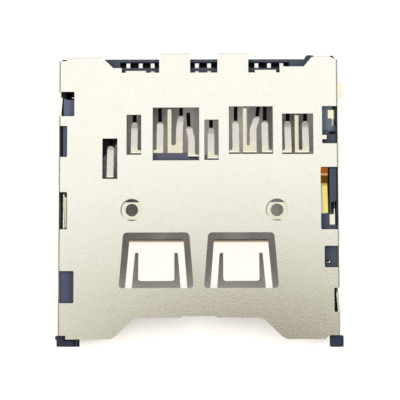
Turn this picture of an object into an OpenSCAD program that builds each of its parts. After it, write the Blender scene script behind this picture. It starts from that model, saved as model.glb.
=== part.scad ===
// Push-push socket for a full-size memory card, surface mounted, reverse type.
// X runs across the card, +Y is the way the card goes in, and z = 0 is the board's surface.
// The card's contacts face up, towards the shell. The origin lies midway across the shell.

/* [Shell] */
// Width over the side walls
shell_w = 27.2; // [26.9:0.1:28]
// Height above the board
shell_h = 3.2; // [3.15:0.05:3.6]
// From the origin to the front edge
shell_front = 13.24; // [13.1:0.02:13.6]
// From the origin to the back edge
shell_back = 14.26; // [14.22:0.02:14.4]
// Thickness of the sheet
sheet_t = 0.2; // [0.15:0.01:0.22]
// Outer radius of the folds
fold_r = 0.25; // [0.24:0.01:0.35]
// Height of the side walls' lower edge above the board
wall_lift = 0.3; // [0.2:0.05:0.5]
// Depth of the side windows below the top
side_window_depth = 1.1; // [0.8:0.05:1.4]
// Width of each solder foot of the side walls
shell_foot_w = 1.6; // [1:0.1:2.2]
// Width of each back tab
tab_w = 3; // [2.6:0.1:3.2]
// How far the back tabs stand behind the back edge
tab_out = 0.24; // [0.1:0.01:0.3]

/* [Card springs in the shell] */
// From the middle of the shell to each spring
spring_x = 4.09; // [4:0.01:4.2]
// Front end of the springs, in front of the origin
spring_front = 8.36; // [8:0.02:8.6]
// Back end of the spring slots, in front of the origin
spring_back = 3.03; // [2.9:0.01:3.3]
// Width of the slot round each spring
spring_slot = 0.62; // [0.4:0.01:0.65]
// Width of each leg and of the cross bar
spring_leg = 0.64; // [0.5:0.01:0.8]
// How far the springs dip below the shell
spring_dip = 0.75; // [0.4:0.05:0.85]

/* [Lanced rings in the shell] */
// Distance between the two rings
ring_pitch = 13.99; // [13.5:0.01:14.2]
// From the origin forward to the rings
ring_y = 0.87; // [0.6:0.01:1]
// Outer diameter
ring_d = 2.1; // [1.8:0.05:2.4]
// Diameter of the hole
ring_hole_d = 1.22; // [0.9:0.05:1.4]
// How far the rings are pressed down
ring_press = 0.1; // [0.05:0.01:0.15]

/* [Card] */
// Width that both rails and their walls take beside the card
rails_w = 3.2; // [3.1:0.05:3.3]
// Thickness of the card
card_t = 2.1; // [2:0.05:2.2]
// Clearance of the card on each side
card_play = 0.1; // [0.05:0.01:0.15]
// Height of the card above the board
card_lift = 0.2; // [0.1:0.05:0.3]
// Middle of the card, right of the middle of the shell
card_x = 0.48; // [0.4:0.02:0.56]

/* [Contacts] */
// Thickness of the contact strip
strip_t = 0.15; // [0.1:0.01:0.18]
// Width of the spring leaves
leaf_w = 0.66; // [0.5:0.02:0.7]
// Width of the straps that run to the back
strap_w = 0.38; // [0.3:0.01:0.4]
// Where most leaves start, behind the origin
root_y = 4.5; // [4.4:0.02:4.7]
// Depth of the straps below the shell
strap_drop = 0.25; // [0.2:0.01:0.28]
// How far the free leaves reach into the card's space
leaf_dip = 0.45; // [0.3:0.05:0.6]
// Length of the tips behind the contact points
tip_l = 1.4; // [1:0.05:1.5]

/* [Housing] */
// Gap between shell and housing at the sides
side_play = 0.12; // [0.08:0.01:0.2]
// Gap between shell and housing at the top
top_play = 0.05; // [0.03:0.01:0.1]
// Front face of the back wall, behind the origin
stop_y = 11.95; // [11.8:0.01:12.1]
// Back face, behind the origin
housing_back = 13.85; // [13.8:0.01:13.87]
// Thickness of the left rail's outer wall
rail_wall = 0.4; // [0.36:0.01:0.42]
// Gap between the card's top and the parts above it
headroom = 0.12; // [0.08:0.01:0.14]
// Clearance round the contacts in their slots
slot_fit = 0.04; // [0.02:0.01:0.05]
// Reach of the front feet beyond the shell
foot_reach = 0.72; // [0.5:0.02:1]
// Diameter of the left locating peg
peg_d = 1.2; // [1:0.05:1.3]
// Diameter of the right locating peg
small_peg_d = 0.8; // [0.7:0.05:0.85]
// Length of the locating pegs
peg_l = 0.6; // [0.4:0.05:0.8]
// Pegs in front of the origin
peg_y = 9.9; // [9:0.1:11]

/* [Push-push mechanism] */
// Travel of the slider
travel = 4.8; // [4.5:0.1:4.9]
// Running gap round the slider
slider_play = 0.04; // [0.03:0.01:0.06]
// Front end of the slider at rest, in front of the origin
slider_front = 6.2; // [6:0.05:6.4]
// Back end of the slider's body at rest, behind the origin
slider_back = 5; // [4.8:0.05:5.2]
// Height of the ledge that carries the slider
ledge_h = 0.75; // [0.7:0.01:0.8]
// Width of the cam pin's bar
pin_w = 0.4; // [0.36:0.01:0.41]
// Diameter of the cam pin's round ends
pin_d = 0.3; // [0.26:0.01:0.3]
// Clearance of the cam pin in its pivot hole
pin_fit = 0.03; // [0.02:0.01:0.05]
// Depth of the heart-cam track
track_depth = 0.5; // [0.4:0.02:0.55]
// Outer diameter of the coil spring
coil_d = 1.04; // [0.9:0.02:1.06]
// Diameter of the coil spring's wire
coil_wire = 0.16; // [0.12:0.01:0.2]
// Turns of the coil spring
coil_turns = 9; // [6:1:10]
// Thickness of the card lock leaf
lock_t = 0.12; // [0.08:0.01:0.14]

/* [Hidden] */
$fn = 40;

shell_colour = [0.93, 0.9, 0.82];
plastic_colour = [0.24, 0.27, 0.36];
contact_colour = [0.88, 0.83, 0.76];
gold_colour = [0.93, 0.82, 0.35];
steel_colour = [0.8, 0.8, 0.8];

// Past every face, so that cuts leave no skin
over = 1;
// The least overlap of solids that join
weld = 0.02;

// Levels
shell_under = shell_h - sheet_t;
top_z = shell_under - top_play;
strap_top = shell_under - strap_drop;
strap_z = strap_top - strip_t;
card_top = card_lift + card_t;
roof_z = card_top + headroom;
bump_z = card_top - leaf_dip;

// Walls across the socket
half_w = shell_w / 2;
wall_in = half_w - sheet_t;
rail_out = wall_in - side_play;
card_w = shell_w - rails_w;
card_left = card_x - card_w / 2 - card_play;
card_right = card_x + card_w / 2 + card_play;
slider_x = -rail_out + rail_wall + slider_play;

// Places across the card, which are given for a card of the standard width
standard_w = 24;

function at(x) = x * card_w / standard_w;

leaf_wide = at(leaf_w);
strap_wide = at(strap_w);

// Window margins: first contact, last contact, left, right, front, back
windows = [[8, 8, 0.35, 0.39, -0.53, 0.68],
           [0, 0, 0.36, 0.35, -0.02, 0.66],
           [1, 9, 0.33, 0.39, 0.74, 1.34],
           [3, 3, 0.3, 0.37, 0.02, 0.72],
           [4, 10, 0.33, 0.37, -0.08, 1.33],
           [6, 7, 0.27, 0.32, -0.06, 0.66]];

// Contacts: leaf from the card's middle, root in front of root_y, leaf length, sideways shift of
// the leaf's end, side of the strap, gap to the strap, tail from the card's middle, bridge length
contacts = [[-6.73, 0, 3.2, 0, 1, 0.4, -6.1, 0.47],
            [-4.23, -0.2, 3.02, 0, -1, 0.4, -4.94, 0.27],
            [-2.34, -0.2, 3.64, 0.15, -1, 0.44, -3.38, 0.74],
            [0.74, 0.48, 3.13, 0, 1, 0.4, 0.57, 0.45],
            [3.15, 0, 3.33, 0, -1, 0.4, 2.8, 0.47],
            [4.83, 0, 3.76, 0.42, -1, 0.29, 3.99, 0.94],
            [8.24, 0, 3.29, 0, -1, 0.36, 6.41, 0.47],
            [9.95, 0, 3.29, 0, -1, 0.37, 7.62, 0.47],
            [-9.07, 2.85, 3.72, 0, 1, 0.44, -7.31, 0.45],
            [-1.16, 0.28, 3.06, -0.25, 1, 0.44, -0.62, 0.3],
            [6, 0, 3.33, 0, 1, 0.34, 5.19, 0.47]];
DETECT_3 = 9;
DETECT_6 = 10;

function leaf_x(c) = card_x + at(c[0]);
function front_y(c) = root_y - c[1];
function bump_y(c) = front_y(c) + c[2];
function strap_x(c) = leaf_x(c) + c[4] * (leaf_wide / 2 + strap_gap(c) + strap_wide / 2);
function tail_x(c) = card_x + at(c[6]);
function strap_gap(c) = at(c[5]);

// Tails turn down just in front of the back lip
lip_t = 0.28;
trough_l = 0.56;
tail_y = housing_back - lip_t - 0.07;
trough_y = housing_back - lip_t - trough_l;
jog_y = 9.9;
jog_l = 1.5;
anchor_l = 0.75;
anchor_w = at(0.5);

// Corners

function unit(v) = v / norm(v);

// The arc that rounds corner p, on the way from a to b, as a fan of points
function corner(a, p, b, r, steps) =
    let (u = unit(a - p), v = unit(b - p), half = acos(u * v) / 2,
         c = p + unit(u + v) * r / sin(half), s = p + u * r / tan(half) - c,
         e = p + v * r / tan(half) - c, start = atan2(s.y, s.x),
         turn = atan2(s.x * e.y - s.y * e.x, s * e))
    [for (i = [0 : steps]) c + r * [cos(start + turn * i / steps), sin(start + turn * i / steps)]];

// An outline of [x, y] corners or [x, y, radius] corners
function rounded(list, steps = 5) =
    let (n = len(list), p = [for (q = list) [q[0], q[1]]])
    [for (i = [0 : n - 1])
        each is_undef(list[i][2]) ? [p[i]]
            : corner(p[(i + n - 1) % n], p[i], p[(i + 1) % n], list[i][2], steps)];

// A box given by its two corners on each axis
module block(x, y, z) {
    translate([x[0], y[0], z[0]])
        cube([x[1] - x[0], y[1] - y[0], z[1] - z[0]]);
}

// A flat outline given by its corners on x and y, with rounded corners
module pane(x, y, r) {
    for (i = [0, 1], j = [0, 1])
        translate([x[i] + (1 - 2 * i) * r, y[j] + (1 - 2 * j) * r])
            circle(r);
    translate([x[0] + r, y[0]])
        square([x[1] - x[0] - 2 * r, y[1] - y[0]]);
    translate([x[0], y[0] + r])
        square([x[1] - x[0], y[1] - y[0] - 2 * r]);
}

// A flat shape drawn in y and z, pushed out along x
module along_x(x0, x1) {
    translate([x0, 0, 0])
        rotate([90, 0, 90])
            linear_extrude(x1 - x0)
                children();
}

// The side view of a bent strip: its top line in y and z, and its thickness
module bent(line, t) {
    polygon(concat(line, [for (i = [len(line) - 1 : -1 : 0]) line[i] - [0, t]]));
}

// A flat shape drawn in x and z, pushed out along y
module along_y(y0, y1) {
    translate([0, y1, 0])
        rotate([90, 0, 0])
            linear_extrude(y1 - y0)
                children();
}

// Shell

// The left flap stands in front of the right one
flap_shift = 0.14;
flap_y = shell_back - fold_r;
left_flap_y = flap_y - flap_shift;
corner_y = shell_back - 0.48;
left_corner_y = corner_y - 0.12;
tabs = [at(-2.3), at(3.35)];
tab_low = 0;
flap_low = 1.3;
// Ends of the short flaps at the back corners, and how far each stands in front of the back edge
flap_ends = [[0.9 - half_w, at(-9.4), flap_shift], [half_w - 2.4, half_w - 0.8, 0]];
foot_gap = 0.36;
corner_cut = 0.83;
corner_bevel = 0.45;
// Back edge of the shell between the tabs, in front of the back edge at the corners
step_1 = 1.17;
step_2 = 1.3;
step_3 = [1.58, 1.5];
step_4 = 1.76;
notch_y = shell_front - 2.05;
notch_lip = 0.13;
bow = 1.2;

shell_outline = rounded([
    [-half_w, left_corner_y], [flap_ends[0][0] - 0.12, left_corner_y],
    [flap_ends[0][0], left_flap_y], [at(-9.2), left_flap_y], [at(-8.27), shell_back - step_2],
    [at(-7.45), shell_back - step_2],
    [at(-7.45), shell_back - step_4], [at(-7.06), shell_back - step_4],
    [at(-7.06), shell_back - step_3[0]], [at(-5.09), shell_back - step_3[0]],
    [at(-5.09), shell_back - step_4], [tabs[0] - tab_w / 2, shell_back - step_4],
    [tabs[0] - tab_w / 2, flap_y], [tabs[0] + tab_w / 2, flap_y],
    [tabs[0] + tab_w / 2, shell_back - step_4], [tabs[1] - tab_w / 2, shell_back - step_4],
    [tabs[1] - tab_w / 2, flap_y], [tabs[1] + tab_w / 2, flap_y],
    [tabs[1] + tab_w / 2, shell_back - step_4], [at(5.5), shell_back - step_4],
    [at(5.5), shell_back - step_3[1]], [at(7.55), shell_back - step_3[1]],
    [at(7.55), shell_back - step_4], [at(7.9), shell_back - step_4],
    [at(7.9), shell_back - step_1], [half_w - 3.35, shell_back - step_1],
    [half_w - 2.6, flap_y], [flap_ends[1][1], flap_y], [half_w - corner_bevel, corner_y + 0.12],
    [half_w, corner_y],
    [half_w, foot_gap - shell_front], [half_w - 1.05, foot_gap - shell_front],
    [half_w - 1.5, -shell_front], [at(8.22), -shell_front, bow], [at(6.17), -notch_y, bow],
    [at(1.79), -notch_y], [at(1.65), notch_lip - notch_y], [at(-1.6), notch_lip - notch_y],
    [at(-1.74), -notch_y], [at(-6.23), -notch_y, bow], [at(-8.28), -shell_front, bow],
    [corner_cut - half_w, -shell_front], [corner_cut - half_w, foot_gap - shell_front],
    [-half_w, foot_gap - shell_front]]);

// Side windows: side, front, back, reach inwards
side_windows = [[-1, 8.26, 10.65, 1.58], [-1, 4.29, 7.32, 0.9], [-1, -2.71, 0.89, 0.92],
                [-1, -9.79, -6.71, 1.59], [1, 5.56, 9.2, 1.64], [1, -2.76, 3.28, 1.82],
                [1, -6.41, -4.34, 1.51], [1, -10.67, -8.37, 0.62]];
// Latch tongues: side window that each stands in, and its length
side_tongues = [[0, 1.95], [7, 1.9]];
// A lug of the sheet that stands in the back right side window: reach, front, back
lug = [0.43, 5.97, 6.38];
tongue_z = 1;
tongue_h = 1.4;
tongue_in = 0.14;
tongue_gap = 0.15;
// Middles of the side walls' feet, left and right
shell_feet = [[-1, 11.9], [-1, -11.6], [1, 7.4], [1, -11.8]];

// Springs, from the middle of each
spring_half_back = 3.18;
spring_half_front = 3.6;
spring_bar = 1.33;
tongue_half = 1.735;
tongue_free = 0.68;
spring_lip = 0.27;
ring_x = 0.555;
ring_flat_back = 0.75;
ring_flat_front = 0.92;

// Half the width between a spring's edges, at y in front of the origin
function spring_half(y, inset) = spring_half_back - inset
    + (spring_half_front - spring_half_back) * (y - spring_back) / (spring_front - spring_back);

module spring_shape(back, front, inset, r_back, r_front) {
    polygon(rounded([[-spring_half(back, inset), -back, r_back],
                     [spring_half(back, inset), -back, r_back],
                     [spring_half(front, inset), -front, r_front],
                     [-spring_half(front, inset), -front, r_front]], 3));
}

// Legs, cross bar and tongue lie in one slope, and the bar's back edge is curled up
module card_spring() {
    bar_back = spring_back + spring_slot;
    bar_front = bar_back + spring_bar;
    bar_z = shell_h - spring_dip;
    root = spring_front + 0.3;
    intersection() {
        linear_extrude(shell_h) {
            difference() {
                spring_shape(bar_back, root, spring_slot, 0.12, 0.01);
                spring_shape(bar_front, root + over, spring_slot + spring_leg, 0.12, 0.01);
            }
            polygon(rounded([[-tongue_half, -bar_front + weld], [tongue_half, -bar_front + weld],
                             [tongue_half, tongue_free - spring_front, 0.25],
                             [-tongue_half, tongue_free - spring_front, 0.25]], 4));
        }
        along_x(-spring_half_front, spring_half_front)
            bent([[-root, shell_h], [-spring_front, shell_h], [-bar_back - spring_lip, bar_z],
                  [-bar_back - spring_lip / 2, bar_z + 0.02], [-bar_back, bar_z + 0.12]],
                 sheet_t);
    }
}

module ring() {
    translate([0, 0, shell_under - ring_press])
        difference() {
            cylinder(d = ring_d + 2 * weld, h = sheet_t);
            translate([0, 0, -over])
                cylinder(d = ring_hole_d, h = sheet_t + 2 * over);
            block([-ring_d, ring_d], [ring_flat_back, ring_d], [-over, over]);
            block([-ring_d, ring_d], [-ring_d, -ring_flat_front], [-over, over]);
        }
}

// The folded section of plate and side walls
module fold_section() {
    intersection() {
        difference() {
            pane([-half_w, half_w], [-shell_h, shell_h], fold_r);
            pane([-wall_in, wall_in], [-2 * shell_h, shell_under], fold_r - sheet_t);
        }
        translate([-shell_w, wall_lift])
            square([2 * shell_w, shell_h]);
    }
}

// A flap folded down at the back, with its outer face at y
module back_flap(x, y, low) {
    along_x(x[0], x[1])
        intersection() {
            difference() {
                pane([y - 4, y], [-shell_h, shell_h], fold_r);
                pane([y - 5, y - sheet_t], [-2 * shell_h, shell_under], fold_r - sheet_t);
            }
            translate([y - 0.9, low])
                square([over, shell_h]);
        }
}

module side_tongue(window, l) {
    translate([-half_w, window[1] - weld, tongue_z])
        rotate(-asin(tongue_in / l))
            cube([sheet_t, l, tongue_h]);
}

module shell() {
    color(shell_colour) {
        difference() {
            union() {
                intersection() {
                    along_y(-shell_front, shell_back)
                        fold_section();
                    linear_extrude(2 * shell_h)
                        polygon(shell_outline);
                }
                for (f = shell_feet)
                    block([f[0] > 0 ? wall_in : -half_w, f[0] > 0 ? half_w : -wall_in],
                          [f[1] - shell_foot_w / 2, f[1] + shell_foot_w / 2],
                          [0, wall_lift + 0.4]);
            }
            for (w = windows) {
                a = contacts[w[0]];
                b = contacts[w[1]];
                translate([0, 0, shell_under - over])
                    linear_extrude(2 * over)
                        pane([leaf_x(a) - leaf_wide / 2 - w[2], leaf_x(b) + leaf_wide / 2 + w[3]],
                             [front_y(a) - w[4], bump_y(a) + w[5]], 0.12);
            }
            for (w = side_windows)
                translate([0, 0, shell_h - side_window_depth])
                    linear_extrude(2 * over)
                        pane(w[0] < 0 ? [-half_w - over, w[3] - half_w]
                                      : [half_w - w[3], half_w + over], [w[1], w[2]], 0.12);
            for (t = side_tongues) {
                w = side_windows[t[0]];
                block(w[0] < 0 ? [-half_w - over, -wall_in + weld] : [wall_in - weld, half_w + over],
                      [w[1], w[2]], [tongue_z - tongue_gap, shell_h]);
            }
            for (s = [-1, 1])
                translate([s * spring_x, 0, shell_under - over])
                    linear_extrude(2 * over)
                        spring_shape(spring_back, spring_front, 0, 0.4, 0.28);
            for (s = [-1, 1])
                translate([ring_x + s * ring_pitch / 2, -ring_y, shell_under - over])
                    cylinder(d = ring_d, h = 2 * over);
        }
        for (s = [-1, 1]) {
            translate([s * spring_x, 0, 0])
                card_spring();
            translate([ring_x + s * ring_pitch / 2, -ring_y, 0])
                ring();
        }
        block([half_w - side_windows[4][3] - weld, half_w - side_windows[4][3] + lug[0]],
              [lug[1], lug[2]], [shell_under, shell_h]);
        for (t = side_tongues) {
            w = side_windows[t[0]];
            mirror([w[0] < 0 ? 0 : 1, 0, 0])
                side_tongue(w, t[1]);
        }
        for (e = flap_ends)
            back_flap([e[0], e[1]], shell_back - e[2], flap_low);
        difference() {
            for (x = tabs)
                back_flap([x - tab_w / 2, x + tab_w / 2], shell_back + tab_out, tab_low);
            for (x = tabs)
                block([x - nub_w / 2 - 0.1, x + nub_w / 2 + 0.1],
                      [housing_back, shell_back + over], [nub_z - 0.1, nub_z + nub_h + 0.1]);
        }
    }
}

// Latch nubs on the housing's back face, in the tabs' windows
nub_w = 1.3;
nub_h = 0.5;
nub_z = 1.2;
nub_out = 0.3;

// Contacts

// The flat blank of a contact's strap, from its tail to the bridge at the leaf's root
module strap_blank(c) {
    half = strap_wide / 2;
    polygon([[strap_x(c) - half, front_y(c)], [strap_x(c) + half, front_y(c)],
             [strap_x(c) + half, jog_y], [tail_x(c) + half, jog_y + jog_l],
             [tail_x(c) + half, tail_y], [tail_x(c) - half, tail_y],
             [tail_x(c) - half, jog_y + jog_l], [strap_x(c) - half, jog_y]]);
    difference() {
        translate([min(strap_x(c), leaf_x(c)), front_y(c)])
            square([abs(strap_x(c) - leaf_x(c)), c[7] + strap_gap(c) / 2]);
        translate([leaf_x(c) + c[4] * (leaf_wide + strap_gap(c)) / 2,
                   front_y(c) + c[7] + strap_gap(c) / 2])
            circle(strap_gap(c) / 2);
    }
    translate([leaf_x(c) - leaf_wide / 2, front_y(c)])
        square([leaf_wide, c[7] + weld]);
    translate([leaf_x(c) - anchor_w / 2, front_y(c) - anchor_l])
        square([anchor_w, anchor_l + weld]);
}

// The flat blank of the leaf and of its narrow tip
module leaf_blank(c) {
    x = leaf_x(c);
    root = front_y(c) + c[7];
    end = x + c[3];
    slant = bump_y(c) - (c[3] == 0 ? 0.3 : 1.2);
    tip = end + 0.3 * c[3];
    polygon(rounded([[x - leaf_wide / 2, root], [x + leaf_wide / 2, root],
                     [x + leaf_wide / 2, slant], [end + end_w / 2, bump_y(c) + weld, end_r],
                     [end - end_w / 2, bump_y(c) + weld, end_r], [x - leaf_wide / 2, slant]], 3));
    polygon([[end - tip_w / 2, bump_y(c)], [end + tip_w / 2, bump_y(c)],
             [tip + tip_w / 2, bump_y(c) + tip_l], [tip - tip_w / 2, bump_y(c) + tip_l]]);
}

end_w = at(0.62);
tip_w = at(0.36);
tail_turn = 0.1;
end_r = 0.13;

module contact(c) {
    root = front_y(c) + c[7];
    bump_top = bump_z + strip_t;
    translate([0, 0, strap_z])
        linear_extrude(strip_t)
            strap_blank(c);
    intersection() {
        linear_extrude(shell_h)
            leaf_blank(c);
        along_x(-half_w, half_w)
            bent([[root, strap_top], [root + 0.25, strap_top - 0.02],
                  [bump_y(c) - 0.3, bump_top + 0.05], [bump_y(c) - 0.1, bump_top],
                  [bump_y(c) + 0.1, bump_top + 0.03], [bump_y(c) + tip_l, bump_top + 0.6]],
                 strip_t);
    }
    along_x(tail_x(c) - strap_wide / 2, tail_x(c) + strap_wide / 2)
        polygon(rounded([[tail_y - 0.3, strap_z], [tail_y - strip_t, strap_z, tail_turn],
                         [tail_y - strip_t, 0, strip_t + tail_turn], [housing_back, 0],
                         [housing_back, strip_t], [tail_y, strip_t, tail_turn],
                         [tail_y, strap_top, strip_t + tail_turn], [tail_y - 0.3, strap_top]], 3));
}

module contact_piece(c) {
    color(contact_colour)
        contact(c);
}

// Housing

front_end = shell_front + foot_reach;
beam_front = 3.1;
beam_back = root_y - weld;
block_back = slider_front + slider_play;
roof_front = 0.83;
roof_back = 9.9;
lip_reach = 1.1;
lock_lip = 0.21;
beam_strip_x = [at(-4.6), at(-1.05)];
beam_strip_y = 4.68;
well_back = stop_y + 0.65;
feet_z = 0.25;
trough_z = 1.6;
trough_x = [at(-7.62), at(8.85)];
left_foot = [0.17, 1.76];
right_foot = 0.26;
ramp_out = 0.14;

// Right rail: the gap for the protect leaf, and the marks in the rail's top
leaf_gap = [-1.2, 3.38];
lip_front = -7;
lug_slits = [lug[1] - 0.12, lug[2] + 0.02];
slit = 0.1;
lug_x = [half_w - side_windows[4][3] - 0.1, half_w - side_windows[4][3] + lug[0] + 0.04];
small_hole = [[card_right - 0.33, card_right - 0.03], [-5.9, -5.72]];
groove = [6.5, 6.7];
// The rail's side steps back from the blade, and its top is lower beside the terminal
blade_step = 0.1;
dip_x = card_right + 0.2;
dip_y = [-1.07, -0.1];
dip_z = 2.3;
gap_x = rail_out - 0.11;
gap_y = [7.35, 9.05];

// Tongue recesses: side, front, back, depth
recesses = [[-1, 8.1, 10.6, 0.12], [1, -10.8, -8.2, 0.12]];

module rails() {
    // Left rail: outer wall, slider ledge, roof over the slider, solid front block
    block([-rail_out, -rail_out + rail_wall], [-shell_front, housing_back], [0, top_z]);
    block([-rail_out, card_left], [-shell_front, stop_y + weld], [0, ledge_h]);
    block([-rail_out, card_left + lip_reach], [roof_front, roof_back], [roof_z, top_z]);
    block([-rail_out, card_left], [-shell_front, -block_back], [0, top_z]);
    // Right rail with its top lips
    block([card_right, rail_out], [foot_gap - shell_front - 0.08, stop_y + weld], [0, top_z]);
    block([card_right - lip_reach, rail_out], [leaf_gap[1], stop_y + weld], [roof_z, top_z]);
    block([card_right - lip_reach, rail_out], [lip_front, leaf_gap[0]], [roof_z, top_z]);
    // Bottom lips at the mouth
    block([-rail_out, card_left + lock_lip], [foot_gap - shell_front, lip_front],
          [0, card_lift - 0.02]);
    block([-half_w + 1.2, card_left - 0.11], [-front_end - ramp_out, foot_gap - shell_front + weld],
          [0, card_lift - 0.02]);
    block([card_right - lock_lip, rail_out], [foot_gap - shell_front, lip_front],
          [0, card_lift - 0.02]);
}

module back_wall() {
    linear_extrude(top_z) {
        polygon([[-rail_out, stop_y], [rail_out, stop_y], [rail_out, housing_back],
                 [0.2 - rail_out, housing_back], [-rail_out, housing_back - 0.19]]);
        // The boss beside the right flap, and the corner behind the bend
        polygon([[half_w - 3.32, housing_back - weld], [half_w - 3.1, shell_back - weld],
                 [half_w - 2.43, shell_back - weld], [half_w - 2.43, housing_back - weld]]);
        polygon([[half_w - 0.76, housing_back - weld], [half_w - 0.76, shell_back - 0.08],
                 [half_w - 0.6, shell_back - weld], [half_w - 0.24, housing_back + 0.1],
                 [half_w - 0.24, housing_back - 0.1], [half_w - 0.5, housing_back - 0.1]]);
    }
    for (x = tabs)
        along_x(x - nub_w / 2, x + nub_w / 2)
            polygon([[housing_back - weld, nub_z], [housing_back + nub_out, nub_z],
                     [housing_back + 0.1, nub_z + nub_h], [housing_back - weld, nub_z + nub_h]]);
}

module beam() {
    block([card_left, card_right - lip_reach + weld], [beam_front, beam_back], [roof_z, top_z]);
    block([card_left, leaf_x(contacts[0])], [roof_front, beam_back], [roof_z, top_z]);
    block(beam_strip_x, [beam_back - weld, beam_strip_y], [roof_z, top_z]);
}

module front_feet() {
    linear_extrude(top_z)
        polygon(rounded([[-half_w - left_foot[0], -shell_front + foot_gap - 0.03, 0.1],
                         [-half_w - left_foot[0], -shell_front - 0.06],
                         [-half_w - left_foot[0] + 0.12, -shell_front - 0.06],
                         [-half_w - left_foot[0] + 0.12, -front_end, 0.12],
                         [-half_w + left_foot[1], -front_end, 0.05],
                         [-half_w + left_foot[1], -shell_front - 0.06],
                         [corner_cut - half_w - 0.03, -shell_front - 0.06],
                         [corner_cut - half_w - 0.03, -shell_front + foot_gap - 0.03]], 3));
    // The right foot's inner side is cut back below its top
    linear_extrude(top_z)
        pane([card_right + 0.36, half_w + right_foot],
             [-front_end - 0.06, -shell_front + foot_gap - 0.03], 0.14);
    translate([0, 0, roof_z])
        linear_extrude(top_z - roof_z)
            pane([card_right - 0.02, half_w + right_foot],
                 [-front_end - 0.06, -shell_front + foot_gap - 0.03], 0.14);
}

module pegs() {
    for (p = [[-rail_out + 0.9, peg_d], [rail_out - 0.42, small_peg_d]])
        translate([p[0], -peg_y, 0]) {
            translate([0, 0, -peg_l + 0.15])
                cylinder(d = p[1], h = peg_l);
            translate([0, 0, -peg_l])
                cylinder(d1 = p[1] - 0.3, d2 = p[1], h = 0.15);
        }
}

// What the contacts take out of the housing
module contact_room(c) {
    f = slot_fit;
    // Slot through the back wall, well for the tail, and the pocket of the root's anchor
    block([tail_x(c) - strap_wide / 2 - f, tail_x(c) + strap_wide / 2 + f], [stop_y - over, tail_y + f],
          [strap_z - f, strap_top + f]);
    // The slot is open at the top as far as the edge of the shell
    block([tail_x(c) - strap_wide / 2 - f, tail_x(c) + strap_wide / 2 + f],
          [stop_y - over, shell_back - step_3[1]], [strap_z - f, top_z + over]);
    block([tail_x(c) - strap_wide / 2 - f, tail_x(c) + strap_wide / 2 + f],
          [tail_y - strip_t - 0.16, tail_y + f], [-over, trough_z + weld]);
    block([leaf_x(c) - anchor_w / 2 - f, leaf_x(c) + anchor_w / 2 + f],
          [front_y(c) - anchor_l - f, front_y(c) + over], [strap_z - f, strap_top + f]);
    // Window in the beam where the root lies in front of the beam's back edge
    if (c[1] > 0)
        block([min(leaf_x(c) - leaf_wide / 2, strap_x(c) - strap_wide / 2) - (c[1] > 1 ? 0.36 : 0.1),
               max(leaf_x(c) + leaf_wide / 2, strap_x(c) + strap_wide / 2) + 0.1],
              [front_y(c) - 0.02, beam_back + over], [roof_z - over, top_z + over]);
}

module housing() {
    color(plastic_colour)
        difference() {
            union() {
                rails();
                back_wall();
                beam();
                front_feet();
                pegs();
            }
            for (c = contacts)
                contact_room(c);
            // Trough over the tails, and the relief under their feet
            block(trough_x, [trough_y, housing_back - lip_t], [trough_z, top_z + over]);
            block(trough_x, [tail_y - strip_t - 0.16, housing_back + over], [-over, feet_z]);
            // Well of the coil spring
            block([-rail_out + rail_wall, card_left + weld], [roof_back, well_back],
                  [ledge_h, top_z + over]);
            // Window in the outer wall for the cam pin, and its pivot hole in the ledge
            block([-rail_out - over, slider_x], [-pivot_y - 0.4, tip_y + 0.45],
                  [0.12, top_z + over]);
            translate([slider_x - over, -pivot_y, pivot_z])
                rotate([0, 90, 0])
                    cylinder(d = pin_d + 2 * pin_fit, h = over + pivot_l + 0.05);
            for (r = recesses)
                block(r[0] < 0 ? [-rail_out - over, -rail_out + r[3]]
                               : [rail_out - r[3], rail_out + over],
                      [r[1], r[2]], [tongue_z - 0.2, top_z + over]);
            // Slits beside the shell's lug, small hole and groove in the right rail
            for (y = lug_slits)
                block(lug_x, [y, y + slit], [top_z - 0.3, top_z + over]);
            block(small_hole[0], small_hole[1], [roof_z - over, top_z + over]);
            block([card_right + 0.1, strip_x[0] - 0.12], groove, [top_z - 0.5, top_z + over]);
            block([card_right + 0.1, rail_out + over], groove, [top_z - 0.14, top_z + over]);
            block([card_right - over, card_right + blade_step], leaf_gap,
                  [strap_z - blade_low - 0.1, top_z + over]);
            block([dip_x, rail_out + over], dip_y, [dip_z, top_z + over]);
            block([gap_x, rail_out + over], gap_y, [dip_z - 0.8, top_z + over]);
            protect_room();
        }
}

// Write-protect switch

blade_x = [card_right - 0.78, card_right - 0.05];
blade_mid_x = [card_right - 0.58, card_right - 0.05];
blade_tip_x = [card_right - 0.48, card_right - 0.02];
blade_bend = [3.38, 1.74];
blade_end = -1.13;
blade_low = 0.6;
anchor_y = [3.4, 5.2];
link_y = [4.3, 5.1];
strip_x = [rail_out - 0.34, rail_out - 0.15];
stub_y = 7.3;
pad_x = [card_right, rail_out - 0.14];
pad_y = [8.06, 8.89];
leg_x = [rail_out - 0.29, rail_out - 0.14];
leg_h = 1;
gold_foot_y = [10.5, 12.05];
gold_foot_x = half_w + 0.7;
terminal_x = [card_right + 0.08, rail_out - 0.1];
terminal_y = [-2.29, -1.28];
terminal_leg = [card_right + 0.16, rail_out - 0.26];
terminal_side = [rail_out - 0.2, rail_out - 0.1];
terminal_side_y = -0.05;
terminal_side_z = 1.6;

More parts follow.
